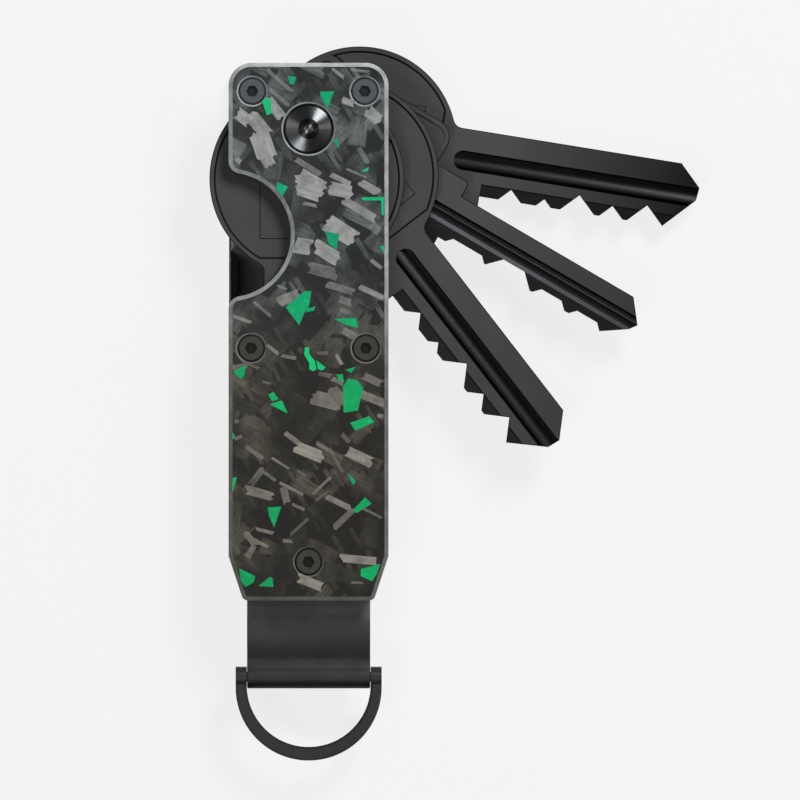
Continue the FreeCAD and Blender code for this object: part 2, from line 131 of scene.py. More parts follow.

# Depths below a key's face at which the milled band takes its darker tone, partly painted shade, and the
# channels and the steps of the head take painted shade, each from none of it to all of it, and the same for
# how far a face slants, where 1 is flat.
band_depths = (0.1, 0.2)
channel_depths = (0.31, 0.4)
step_depths = (0.42, 0.34)
slant = (0.97, 0.85)
step_slant = (0.95, 0.8)

# Each lamp: its azimuth and elevation in degrees, width and height in metres, and power in watts. The
# distance and the point that the lamps aim at are in metres too.
lamps = {
    "main_light": (57, 52, 0.15, 0.2, 2.55),
    "tail_light": (237, 60, 0.14, 0.18, 0.9),
    "left_light": (157, 74, 0.06, 0.3, 0.2),
    "right_light": (14, 45, 0.15, 0.3, 0.4),
}
lamp_distance = 0.6
lamp_target = (0.01, 0, 0.01)
room_strength = 0.02
backdrop_level = 242
floor_gap = 0.15


# Finishes

def tone(red, green, blue):
    """A display colour of 0 to 255 as a linear one."""
    def linear(level):
        level = level / 255
        return level / 12.92 if level <= 0.04045 else ((level + 0.055) / 1.055) ** 2.4
    return (linear(red), linear(green), linear(blue), 1)


class Finish:
    """One procedural finish: a shader, and short names for the nodes that feed it."""

    def __init__(self, name, **shader_values):
        self.material = bpy.data.materials.new(name)
        self.material.use_nodes = True
        self.tree = self.material.node_tree
        self.shader = self.tree.nodes["Principled BSDF"]
        for socket, value in shader_values.items():
            self.shader.inputs[socket.replace("_", " ")].default_value = value

    def node(self, kind, settings=(), inputs=()):
        made = self.tree.nodes.new("ShaderNode" + kind)
        for name, value in dict(settings).items():
            setattr(made, name, value)
        for socket, value in dict(inputs).items():
            self.feed(made.inputs[socket], value)
        return made

    def feed(self, socket, value):
        if isinstance(value, bpy.types.NodeSocket):
            self.tree.links.new(value, socket)
        else:
            socket.default_value = value

    def set(self, socket, value):
        self.feed(self.shader.inputs[socket], value)

    def place(self, centre=(0, 0, 0), turn=0.0, stretch=(1, 1, 1)):
        """Object coordinates in millimetres from centre, turned by turn, then divided by stretch."""
        coordinates = self.node("TexCoord").outputs["Object"]
        centre_m = [c * mm for c in centre]
        scale_m = [s * mm for s in stretch]
        mapping = self.node("Mapping", {"vector_type": "TEXTURE"},
                            {"Vector": coordinates, "Location": centre_m,
                             "Rotation": (0, 0, turn), "Scale": scale_m})
        return mapping.outputs["Vector"]

    def axis(self, vector, which):
        return self.node("SeparateXYZ", (), {"Vector": vector}).outputs[which]

    def normal_z(self):
        normal = self.node("TexCoord").outputs["Normal"]
        return self.math("ABSOLUTE", self.axis(normal, "Z"))

    def math(self, operation, *values):
        made = self.node("Math", {"operation": operation})
        for index, value in enumerate(values):
            self.feed(made.inputs[index], value)
        return made.outputs[0]

    def vector(self, operation, first, second):
        made = self.node("VectorMath", {"operation": operation})
        self.feed(made.inputs[0], first)
        self.feed(made.inputs[1], second)
        return made.outputs[0]

    def span(self, value, low, high, out_low=0.0, out_high=1.0, smooth=True):
        """Maps low..high to out_low..out_high, held at the ends."""
        kind = "SMOOTHSTEP" if smooth else "LINEAR"
        return self.node("MapRange", {"interpolation_type": kind},
                         {"Value": value, "From Min": low, "From Max": high,
                          "To Min": out_low, "To Max": out_high}).outputs[0]

    def between(self, vector, low, high, soft=0.05):
        """1 where the vector's Y lies between two heights, 0 outside them."""
        y = self.axis(vector, "Y")
        return self.math("MULTIPLY", self.span(y, low - soft, low + soft),
                         self.span(y, high + soft, high - soft))

    def mix(self, share, first, second):
        made = self.node("Mix", {"data_type": "RGBA"})
        self.feed(made.inputs[0], share)
        self.feed(made.inputs[6], first)
        self.feed(made.inputs[7], second)
        return made.outputs[2]

    def scaled(self, colour, amount):
        """A colour times a number."""
        made = self.node("VectorMath", {"operation": "SCALE"}, {0: colour})
        self.feed(made.inputs["Scale"], amount)
        return made.outputs[0]

    def noise(self, vector, scale, detail=2.0, rough=0.5):
        return self.node("TexNoise", (), {"Vector": vector, "Scale": scale, "Detail": detail,
                                          "Roughness": rough}).outputs["Fac"]

    def cells(self, vector, scale, distance="CHEBYCHEV"):
        """Random cells: their distance field and their random colour."""
        made = self.node("TexVoronoi", {"distance": distance}, {"Vector": vector, "Scale": scale})
        return made.outputs["Distance"], made.outputs["Color"]

    def bump(self, height, strength, depth_mm):
        made = self.node("Bump", (), {"Height": height, "Strength": strength,
                                      "Distance": depth_mm * mm})
        self.set("Normal", made.outputs["Normal"])


# Forged carbon. The ground is the same in the scale and in the chips, so that a chip that lies deep
# in the resin fades into it.

ground_cool = tone(16, 19, 21)
ground_warm = tone(20, 17, 10)
tow_pale_cool = tone(160, 163, 160)
tow_pale_warm = tone(154, 150, 139)


def warmth(finish):
    """0 at the cool pivot end, 1 at the warm tail end."""
    y = finish.axis(finish.place(), "Y")
    return finish.span(y, 12, -8)


def faint_tow(finish, turn, length, width, low, seed):
    """A loose layer of chopped tow at one lay angle: how bright it is, from 0 to 1."""
    vector = finish.place((seed, seed * 2, 0), turn, (length, width, 3))
    distance, colour = finish.cells(vector, 1.0)
    pick = finish.axis(colour, "X")
    inside = finish.span(distance, 0.46, 0.36)
    shown = finish.span(pick, low, 1.0)
    strands = finish.noise(finish.place((seed, 0, 0), turn, (3.0, 0.16, 1)), 1.0, 3.0, 0.6)
    fibre = finish.span(strands, 0.3, 0.7, 0.35, 1.0)
    return finish.math("MULTIPLY", finish.math("MULTIPLY", inside, shown), fibre)


def carbon_ground(finish):
    """The dark body of the forged carbon: faint crossing layers of tow under the resin."""
    layers = [
        faint_tow(finish, math.radians(-27), 5.4, 2.6, 0.1, 3),
        faint_tow(finish, math.radians(48), 5.6, 2.0, 0.25, 11),
        faint_tow(finish, math.radians(82), 5.0, 3.0, 0.2, 23),
        faint_tow(finish, math.radians(-58), 4.2, 0.8, 0.35, 37),
    ]
    # How light each tow cell shows is partly painted sheen, as carbon fibre looks light or dark by its angle
    # to the light.
    bright = layers[0]
    for layer, share in zip(layers[1:], (0.8, 0.7, 0.9)):
        bright = finish.math("MAXIMUM", bright, finish.math("MULTIPLY", layer, share))
    cloud = finish.noise(finish.place(), 0.16, 3.0, 0.55)
    bright = finish.math("MULTIPLY", bright, finish.span(cloud, 0.35, 0.65, 0.25, 1.0))
    deep = finish.mix(warmth(finish), ground_cool, ground_warm)
    lit = finish.mix(warmth(finish), tone(116, 122, 122), tone(94, 89, 76))
    shade = finish.mix(bright, deep, lit)
    hollow = finish.span(cloud, 0.30, 0.62, 0.5, 1.1)
    return finish.scaled(shade, hollow)


def forged_carbon():
    finish = Finish("forged_carbon", Roughness=0.45, Specular_IOR_Level=0.3, Coat_Weight=0.15,
                    Coat_Roughness=0.12)
    ground = carbon_ground(finish)
    tilt = finish.normal_z()
    slanted = finish.math("MULTIPLY", finish.span(tilt, 0.25, 0.6), finish.span(tilt, *slant))
    y = finish.axis(finish.place(), "Y")
    # The pale rim is partly the sanded edge's own colour and partly a painted highlight: it is painted
    # brighter at the top end and darker towards the tail.
    edge = finish.mix(warmth(finish), tone(168, 174, 174), tone(122, 123, 116))
    edge = finish.scaled(edge, finish.math("MULTIPLY", finish.span(y, 12, -30, 1.0, 0.76),
                                           finish.span(y, 36, 40, 1.0, 2.1)))
    patchy = finish.span(finish.noise(finish.place(), 0.45, 3.0, 0.6), 0.3, 0.7, 0.72, 1.12)
    edge = finish.scaled(edge, patchy)
    layers = finish.noise(finish.place(stretch=(6, 6, 0.13)), 1.0, 3.0, 0.6)
    side = finish.mix(finish.span(layers, 0.35, 0.68), tone(24, 25, 25), tone(74, 74, 71))
    wall = finish.span(tilt, 0.4, 0.2)
    colour = finish.mix(slanted, ground, edge)
    finish.set("Base Color", finish.mix(wall, colour, side))
    finish.bump(finish.noise(finish.place(), 0.9, 3.0, 0.5), 0.08, 0.05)
    return finish.material


def tow_chip_finish():
    """Pale chopped tow: strands along the chip, which sinks deeper into the resin in places."""
    finish = Finish("pale_tow", Roughness=0.42, Specular_IOR_Level=0.3, Coat_Weight=0.15,
                    Coat_Roughness=0.12)
    uv = finish.node("UVMap", {"uv_map": "along"}).outputs["UV"]
    data = finish.node("Attribute", {"attribute_name": "tow"}).outputs["Color"]
    length = finish.math("MULTIPLY", finish.axis(data, "X"), stored_unit)
    width = finish.math("MULTIPLY", finish.axis(data, "Y"), stored_unit)
    shown = finish.axis(data, "Z")
    along = finish.math("MULTIPLY", finish.axis(uv, "X"), length)
    across = finish.math("MULTIPLY", finish.axis(uv, "Y"), width)
    combine = finish.node("CombineXYZ", (), {"X": finish.math("MULTIPLY", along, 0.4),
                                             "Y": finish.math("MULTIPLY", across, 2.2),
                                             "Z": finish.math("MULTIPLY", shown, 97.0)})
    strands = finish.noise(combine.outputs[0], 1.0, 4.0, 0.68)
    fibre = finish.span(strands, 0.28, 0.72, 0.76, 1.1)
    depth = finish.span(finish.noise(finish.place(), 0.5, 3.0, 0.6), 0.32, 0.6, 0.62, 1.0)
    # How pale a chip shows is partly the tow's colour and partly painted sheen of its fibres.
    clear = finish.span(shown, 0.25, 0.9, 0.15, 1.0, smooth=False)
    pale = finish.mix(warmth(finish), tow_pale_cool, tow_pale_warm)
    finish.set("Base Color", finish.mix(finish.math("MULTIPLY", clear, depth), carbon_ground(finish),
                                        finish.scaled(pale, fibre)))
    return finish.material


def flake_finish():
    """Green foil flakes in the resin, each with its own lightness, and with a painted glint where the foil
    is crumpled.
    """
    finish = Finish("green_flake", Roughness=0.4, Specular_IOR_Level=0.2)
    data = finish.node("Attribute", {"attribute_name": "tow"}).outputs["Color"]
    seed, bright = finish.axis(data, "X"), finish.axis(data, "Y")
    crumple = finish.noise(finish.place(), 1.1, 3.0, 0.6)
    green = finish.mix(warmth(finish), tone(0, 150, 108), tone(0, 156, 90))
    light = tone(10, 215, 125)
    # Painted glint: the flake turns a lighter green where the foil is crumpled.
    lightness_and_glint = finish.math("ADD", finish.math("MULTIPLY", bright, 0.75),
                         finish.span(crumple, 0.5, 0.8, 0.0, 0.5))
    grain = finish.span(finish.noise(finish.place(), 5.0, 2.0), 0.2, 0.8, 0.9, 1.1)
    grain = finish.math("MULTIPLY", grain, finish.span(seed, 0, 1, 0.92, 1.08))
    finish.set("Base Color", finish.scaled(finish.mix(lightness_and_glint, green, light), grain))
    finish.bump(crumple, 0.2, 0.05)
    return finish.material


def coated_steel(name, colour, dark, roughness, gloss=0.3):
    """Coated steel: a fine even tooth, with the coating a little thinner in places."""
    finish = Finish(name, Specular_IOR_Level=gloss)
    tooth = finish.noise(finish.place(), 14.0, 3.0, 0.6)
    patch = finish.noise(finish.place(), 0.22, 3.0, 0.5)
    shade = finish.mix(finish.span(patch, 0.3, 0.7), dark, colour)
    finish.set("Base Color", finish.scaled(shade, finish.span(tooth, 0.2, 0.8, 0.92, 1.08)))
    finish.set("Roughness", finish.span(patch, 0.3, 0.7, roughness + 0.06, roughness))
    finish.bump(tooth, 0.12, 0.02)
    return finish.material


def key_finish(name, values):
    """A key's black coating, in the key's own frame: u along the blade, v across it."""
    turn = math.radians(values["open"] - 90)
    face = box_mm(name)[1].z
    finish = Finish("black_" + name, Specular_IOR_Level=0.16)
    own = finish.place((pivot_x, pivot_y, 0), turn)
    u = finish.axis(own, "X")
    z = finish.axis(own, "Z")
    depth = finish.math("SUBTRACT", face, z)
    flat = finish.normal_z()
    tooth = finish.noise(own, 9.0, 3.0, 0.6)
    grind = finish.noise(finish.place((pivot_x, pivot_y, 0), turn, (5.0, 0.09, 1)), 1.0, 2.0)
    patch = finish.noise(own, 0.18, 3.0, 0.5)
    on_blade = finish.span(u, values["blade"] - 0.5, values["blade"] + 0.5)
    # The milled band's darker tone is partly its own finish and partly painted shade.
    milled = finish.math("MULTIPLY", on_blade, finish.span(depth, *band_depths))
    # Painted shade: the blade's channels and slanted faces go near black.
    sunk = finish.math("MULTIPLY", on_blade, finish.span(depth, *channel_depths))
    slope = finish.math("MULTIPLY", on_blade, finish.span(flat, *slant))
    black = finish.math("MAXIMUM", sunk, slope)
    # Painted shade: the head's shallow steps and slanted edges go dark.
    step = finish.math("MULTIPLY", finish.span(flat, *step_slant), finish.span(depth, *step_depths))
    step = finish.math("MULTIPLY", step, finish.span(on_blade, 0, 1, 0.85, 0))
    band = values["band"]
    shade = finish.mix(on_blade, tone(69, 69, 69), tone(71, 71, 72))
    shade = finish.mix(milled, shade, tone(band, band, band + 1))
    shade = finish.mix(step, shade, tone(6, 6, 6))
    shade = finish.mix(black, shade, tone(5, 5, 5))
    if "bevel" in values:
        # Painted highlight on the square-headed key's bevel, and painted shade in its channel.
        bevel_highlight = finish.math("MULTIPLY", on_blade, finish.between(own, *values["bevel"]))
        shade = finish.mix(bevel_highlight, shade, tone(112, 115, 120))
        channel = finish.math("MULTIPLY", on_blade, finish.between(own, *values["dark"]))
        shade = finish.mix(channel, shade, tone(5, 5, 5))
    grain = finish.math("ADD", finish.span(tooth, 0.2, 0.8, 0.94, 1.06),
                        finish.span(grind, 0.3, 0.7, -0.03, 0.03))
    patches = finish.span(patch, 0.3, 0.7, 0.93, 1.05)
    # Painted reflection: the blade darkens towards its tip.
    tip = finish.span(u, values["tip_shade_from"], key_reach, 1.0, values["tip"], smooth=False)
    grain_and_painted_shade = finish.math("MULTIPLY", finish.math("MULTIPLY", grain, patches), tip)
    finish.set("Base Color", finish.scaled(shade, grain_and_painted_shade))
    finish.set("Roughness", finish.span(black, 0, 1, 0.43, values["gloss"]))
    finish.bump(finish.math("ADD", tooth, finish.math("MULTIPLY", grind, 0.5)), 0.12, 0.02)
    return finish.material


def screw_finish():
    """Dark screws, with painted shade in their sockets."""
    finish = Finish("dark_screw", Metallic=0.6)
    y = finish.axis(finish.place(), "Y")
    warm = finish.span(y, 20, 0)
    tooth = finish.noise(finish.place(), 6.0, 3.0, 0.6)
    shade = finish.mix(warm, tone(84, 89, 94), tone(64, 64, 57))
    from_middle = finish.math("SUBTRACT", finish.axis(finish.place(), "Z"), middle_z)
    sunk = finish.math("SUBTRACT", screw_face - middle_z, finish.math("ABSOLUTE", from_middle))
    # Painted shade: the socket and its walls are darkened, more the deeper they lie.
    socket = finish.span(sunk, 0.19, 0.3, 1.0, 0.15)
    grain_and_painted_shade = finish.math("MULTIPLY", socket, finish.span(tooth, 0.2, 0.8, 0.85, 1.15))
    finish.set("Base Color", finish.scaled(shade, grain_and_painted_shade))
    finish.set("Roughness", finish.span(tooth, 0.2, 0.8, 0.34, 0.46))
    finish.bump(tooth, 0.1, 0.02)
    return finish.material


def turned_finish():
    """The pivot heads: turned steel, its lay going round the axis."""
    finish = Finish("turned_pivot", Metallic=1.0, Roughness=0.31, Anisotropic=0.97,
                    Anisotropic_Rotation=0.25)
    socket_low, socket_high, cone_r = 0.6, 1.5, 3.1
    own = finish.place((pivot_x, pivot_y, 0))
    flat = finish.vector("MULTIPLY", own, (1, 1, 0))
    radius = finish.node("VectorMath", {"operation": "LENGTH"}, {0: flat}).outputs["Value"]
    rings = finish.noise(finish.node("CombineXYZ", (), {"X": radius}).outputs[0], 9.0, 3.0, 0.6)
    socket = finish.math("MULTIPLY", finish.span(radius, socket_high, socket_high - 0.08),
                         finish.span(radius, socket_low, socket_low + 0.1))
    rim = finish.span(radius, cone_r, cone_r + 0.15)
    # Painted shade: the hex socket's walls, though not the middle of its floor, and the ring round the
    # head's edge are darkened.
    dark = finish.math("MAXIMUM", socket, rim)
    shade = finish.mix(finish.span(rings, 0.3, 0.7), tone(88, 90, 92), tone(114, 116, 118))
    finish.set("Base Color", finish.mix(dark, shade, tone(48, 49, 51)))
    tangent = finish.node("Tangent", {"direction_type": "RADIAL", "axis": "Z"})
    finish.set("Tangent", tangent.outputs[0])
    finish.bump(rings, 0.1, 0.01)
    return finish.material


def washer_finish():
    finish = Finish("bronze_washer", Metallic=1.0, Roughness=0.38)
    patch = finish.noise(finish.place(), 0.6, 3.0, 0.6)
    finish.set("Base Color", finish.mix(patch, tone(150, 108, 62), tone(120, 82, 44)))
    finish.bump(finish.noise(finish.place(), 8.0), 0.1, 0.01)
    return finish.material


def moulded_finish():
    finish = Finish("black_spacer", Roughness=0.6)
    grain = finish.noise(finish.place(), 3.5, 4.0, 0.6)
    finish.set("Base Color", finish.mix(grain, tone(30, 30, 31), tone(44, 44, 45)))
    finish.bump(grain, 0.2, 0.03)
    return finish.material


def leather_finish():
    """Smooth black leather with a tiny pebbled grain, with painted light by the case and painted shade from
    its slope down to the loop's end.
    """
    finish = Finish("black_leather", Specular_IOR_Level=0.22, Sheen_Weight=0.05)
    pebbles, _ = finish.cells(finish.place(), 4.2, "EUCLIDEAN")
    fine = finish.noise(finish.place(), 7.0, 4.0, 0.6)
    slow = finish.noise(finish.place(), 0.25, 3.0, 0.5)
    y = finish.axis(finish.place(), "Y")
    shade = finish.mix(finish.span(slow, 0.3, 0.7), tone(58, 58, 58), tone(66, 66, 66))
    # Painted light near the case, brightening the strip where the case's shadow falls; painted shade from
    # the slope downwards, deepest at the loop's end.
    shade = finish.scaled(shade, finish.math("MULTIPLY", finish.span(y, -41.6, -38.6, 1.0, 2.3),
                                             finish.span(y, -41.5, -44, 1.0, 0.7)))
    shade = finish.scaled(shade, finish.span(y, -48.4, -49.4, 1.0, 0.05))
    finish.set("Base Color", finish.scaled(shade, finish.span(pebbles, 0.0, 0.6, 1.06, 0.9)))
    finish.set("Roughness", finish.span(slow, 0.3, 0.7, 0.6, 0.54))
    height = finish.math("ADD", finish.math("MULTIPLY", pebbles, -0.6), finish.math("MULTIPLY", fine, 0.4))
    finish.bump(height, 0.15, 0.04)
    return finish.material


def dress(node, material):
    """Gives a CAD node its finish."""
    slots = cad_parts[node].material_slots
    for slot in slots:
        slot.material = material


def dress_frame():
    carbon = forged_carbon()
    front_liner = coated_steel("black_liner", tone(52, 52, 53), tone(44, 44, 45), 0.4)
    # Painted light: the rear liner is light grey, unlike the dark front liner, to lift its face, which lies
    # deep in shade inside the notch.
    rear_liner = coated_steel("painted_light_liner", tone(172, 172, 173), tone(152, 152, 153), 0.4)
    # Painted shade: the spine wall is near black, darker than the other coated parts, as it lies in shade in
    # the notch.
    wall = coated_steel("black_wall_painted_shade", tone(8, 8, 8), tone(6, 6, 6), 0.6, 0.05)
    ring = coated_steel("black_ring", tone(48, 48, 48), tone(41, 41, 41), 0.34)
    screws, turned, bronze = screw_finish(), turned_finish(), washer_finish()
    moulded = moulded_finish()
    finishes = {
        "front_scale": carbon, "rear_scale": carbon,
        "front_liner": front_liner, "rear_liner": rear_liner, "spine_wall": wall,
        "front_scale_screws": screws, "rear_scale_screws": screws,
        "front_tail_screw": screws, "rear_tail_screw": screws, "tail_post": screws,
        "pivot_screw": turned, "pivot_barrel": turned,
        "front_strap_spacer": moulded, "rear_strap_spacer": moulded, "strap_core_spacer": moulded,
        "ring_bow": ring, "ring_pin": ring,
    }
    for node, material in finishes.items():
        dress(node, material)
    for number in range(1, 6):
        dress("key_washer_%d" % number, bronze)
    for name, values in keys.items():
        dress(name, key_finish(name, values))


# Carbon chips and green flakes, set in each scale's face and standing a hair out of it

def deselect():
    if bpy.context.object and bpy.context.object.mode == "EDIT":
        bpy.ops.object.mode_set(mode="OBJECT")
    bpy.ops.object.select_all(action="DESELECT")


def pick(piece):
    """Selects one piece alone."""
    deselect()
    piece.select_set(True)
    bpy.context.view_layer.objects.active = piece


def settle(piece):
    """Puts a piece's place into its mesh, so that its object sits at the origin."""
    pick(piece)
    bpy.ops.object.transform_apply(location=True, rotation=True, scale=True)


def turn_outwards(piece, weld=0.0):
    """Merges the piece's doubles, if it may have any, and points its faces outwards."""
    pick(piece)
    bpy.ops.object.mode_set(mode="EDIT")
    bpy.ops.mesh.select_all(action="SELECT")
    if weld:
        bpy.ops.mesh.remove_doubles(threshold=weld * mm)
    bpy.ops.mesh.normals_make_consistent(inside=False)
    bpy.ops.object.mode_set(mode="OBJECT")


def tag(piece, values):
    """Stores three numbers on a chip or flake for its finish to read."""
    layer = piece.data.attributes.new("tow", "FLOAT_COLOR", "POINT")
    for item in layer.data:
        item.color = (*values, 1.0)


def join(pieces, name):
    pick(pieces[0])
    for piece in pieces:
        piece.select_set(True)
    bpy.ops.object.join()
    pieces[0].name = name
    settle(pieces[0])
    return pieces[0]


def thicken(rise):
    """Extrudes the flat chip or flake out of the scale, from below its face to just above it."""
    bpy.ops.object.mode_set(mode="EDIT")
    bpy.ops.mesh.select_all(action="SELECT")
    bpy.ops.mesh.extrude_region_move(TRANSFORM_OT_translate={"value": (0, 0, rise * mm)})
    bpy.ops.object.mode_set(mode="OBJECT")


# Each chip: centre x, y, length, width, tilt in degrees, and how clearly it shows.
pale_chips = [
    (-9.1, 29.9, 2.2, 1.7, -38, 0.9), (-6.8, 28.7, 3.7, 1.9, -50, 0.92),
    (-6.4, 26.2, 3.6, 2.8, -70, 0.95), (-6.0, 24.4, 2.6, 1.7, -62, 0.85),
    (-4.6, 31.0, 2.9, 1.4, -52, 0.85), (-4.0, 35.0, 4.4, 0.5, -41, 0.45),
    (-4.1, 32.7, 3.2, 0.5, -41, 0.42), (-0.3, 23.1, 4.0, 0.8, -32, 0.5),
    (0.3, 20.9, 4.2, 2.2, -30, 0.95), (0.0, 19.3, 3.6, 1.5, -18, 0.92),
    (4.7, 19.7, 3.2, 1.9, -12, 0.85), (4.5, 21.2, 3.5, 0.7, -26, 0.8), (6.7, 22.1, 3.0, 0.3, -24, 0.55),
    (8.3, 20.2, 2.9, 1.1, -32, 0.7), (7.2, 17.0, 5.4, 1.2, -30, 0.7), (0.3, 17.7, 2.0, 0.5, -12, 0.6),
    (4.4, 14.1, 4.9, 2.5, -32, 0.9), (9.0, 30.2, 2.3, 1.7, -42, 0.8), (5.6, 32.0, 1.7, 0.9, -22, 0.75),
    (4.2, 36.0, 2.0, 0.5, -38, 0.6), (7.2, 36.4, 2.6, 0.4, -8, 0.5), (7.4, 35.6, 2.4, 0.3, 14, 0.35),
    (9.3, 14.4, 1.4, 1.2, -40, 0.45), (7.5, 24.8, 2.5, 0.7, -62, 0.45),
    (-9.8, 23.9, 1.1, 0.7, -45, 0.7), (-0.8, 11.9, 2.5, 2.2, -10, 0.75),
    (2.6, 11.0, 3.8, 2.0, -32, 0.95), (1.9, 8.5, 3.9, 1.7, -15, 0.42), (4.3, 6.1, 3.7, 1.0, -17, 0.5),
    (5.1, 4.3, 2.0, 1.0, -15, 0.5), (5.2, 2.8, 1.5, 0.6, -20, 0.42), (8.6, 5.6, 3.6, 0.75, -25, 0.72),
    (9.6, 9.3, 1.9, 0.6, -36, 0.65), (-2.7, 4.7, 2.9, 1.5, 22, 0.62), (-9.2, 1.7, 2.5, 0.45, -20, 0.65),
    (-6.4, 3.1, 3.1, 0.4, -40, 0.5), (-5.0, -2.5, 1.7, 0.5, -40, 0.6),
    (-2.9, -3.5, 2.0, 0.5, -12, 0.55), (5.6, -0.2, 2.2, 1.0, -28, 0.55),
    (4.3, -4.0, 1.7, 0.5, -60, 0.7), (2.5, -9.6, 3.7, 2.0, -14, 0.62), (4.0, -8.9, 2.4, 1.6, -46, 0.5),
    (8.9, -6.7, 3.2, 1.1, -25, 0.55), (8.8, -9.3, 3.3, 1.2, -22, 0.65), (4.1, -6.9, 1.7, 0.7, -22, 0.6),
    (2.3, -6.0, 2.2, 0.6, -12, 0.4), (2.1, -3.0, 1.6, 0.5, 0, 0.35), (-9.6, -4.9, 1.8, 0.8, 12, 0.45),
    (-3.7, 6.2, 1.3, 0.35, -22, 0.55), (-5.9, -7.1, 1.4, 0.35, -15, 0.45),
    (-8.0, -4.7, 2.2, 0.35, -22, 0.45), (0.1, -16.8, 3.7, 1.7, -22, 0.92),
    (-2.2, -14.9, 2.8, 0.7, -38, 0.7), (6.9, -17.4, 3.8, 1.5, -26, 0.85),
    (-7.6, -16.8, 3.0, 0.6, -35, 0.5), (-4.0, -18.3, 2.8, 0.35, -32, 0.6),
    (-7.2, -20.2, 3.0, 0.9, 52, 0.42), (-5.4, -20.2, 1.9, 0.45, -36, 0.48),
    (-6.9, -22.5, 3.7, 1.3, -16, 0.62), (-2.4, -21.9, 3.6, 0.4, -27, 0.6),
    (1.9, -21.4, 3.5, 0.4, 43, 0.55), (1.9, -22.9, 2.2, 0.35, 36, 0.4),
    (4.1, -23.8, 3.6, 0.8, -26, 0.7), (4.9, -26.1, 3.9, 0.8, 44, 0.5),
    (8.7, -25.2, 3.2, 0.35, -27, 0.5), (-6.1, -27.8, 2.3, 0.5, -14, 0.6),
    (-6.5, -29.6, 2.2, 0.5, -30, 0.6), (-8.0, -29.0, 2.4, 0.9, -50, 0.55),
    (-8.0, -30.6, 1.8, 0.8, 58, 0.55), (-1.4, -27.3, 3.3, 0.45, 42, 0.45),
    (-2.8, -29.2, 1.2, 0.5, -6, 0.55), (-1.3, -24.5, 1.9, 0.4, -25, 0.55),
    (7.2, -31.8, 5.2, 1.1, -5, 0.8), (0.3, -35.0, 3.9, 1.3, -22, 0.8),
    (6.7, -35.0, 1.7, 0.35, -3, 0.55), (-3.2, -23.0, 2.2, 1.0, -76, 0.5),
    (2.0, -16.0, 2.0, 0.5, -30, 0.55), (3.8, -17.9, 3.6, 0.4, -60, 0.35),
    (10.1, -11.8, 0.9, 0.6, -20, 0.6), (5.2, -14.9, 1.5, 0.6, -50, 0.4),
    (-9.9, -14.8, 1.1, 0.5, 20, 0.5), (-10.0, -12.5, 0.6, 0.5, 0, 0.5), (5.6, -8.0, 0.9, 0.5, -20, 0.4),
    (-1.0, -19.7, 1.4, 0.4, -35, 0.35),
]

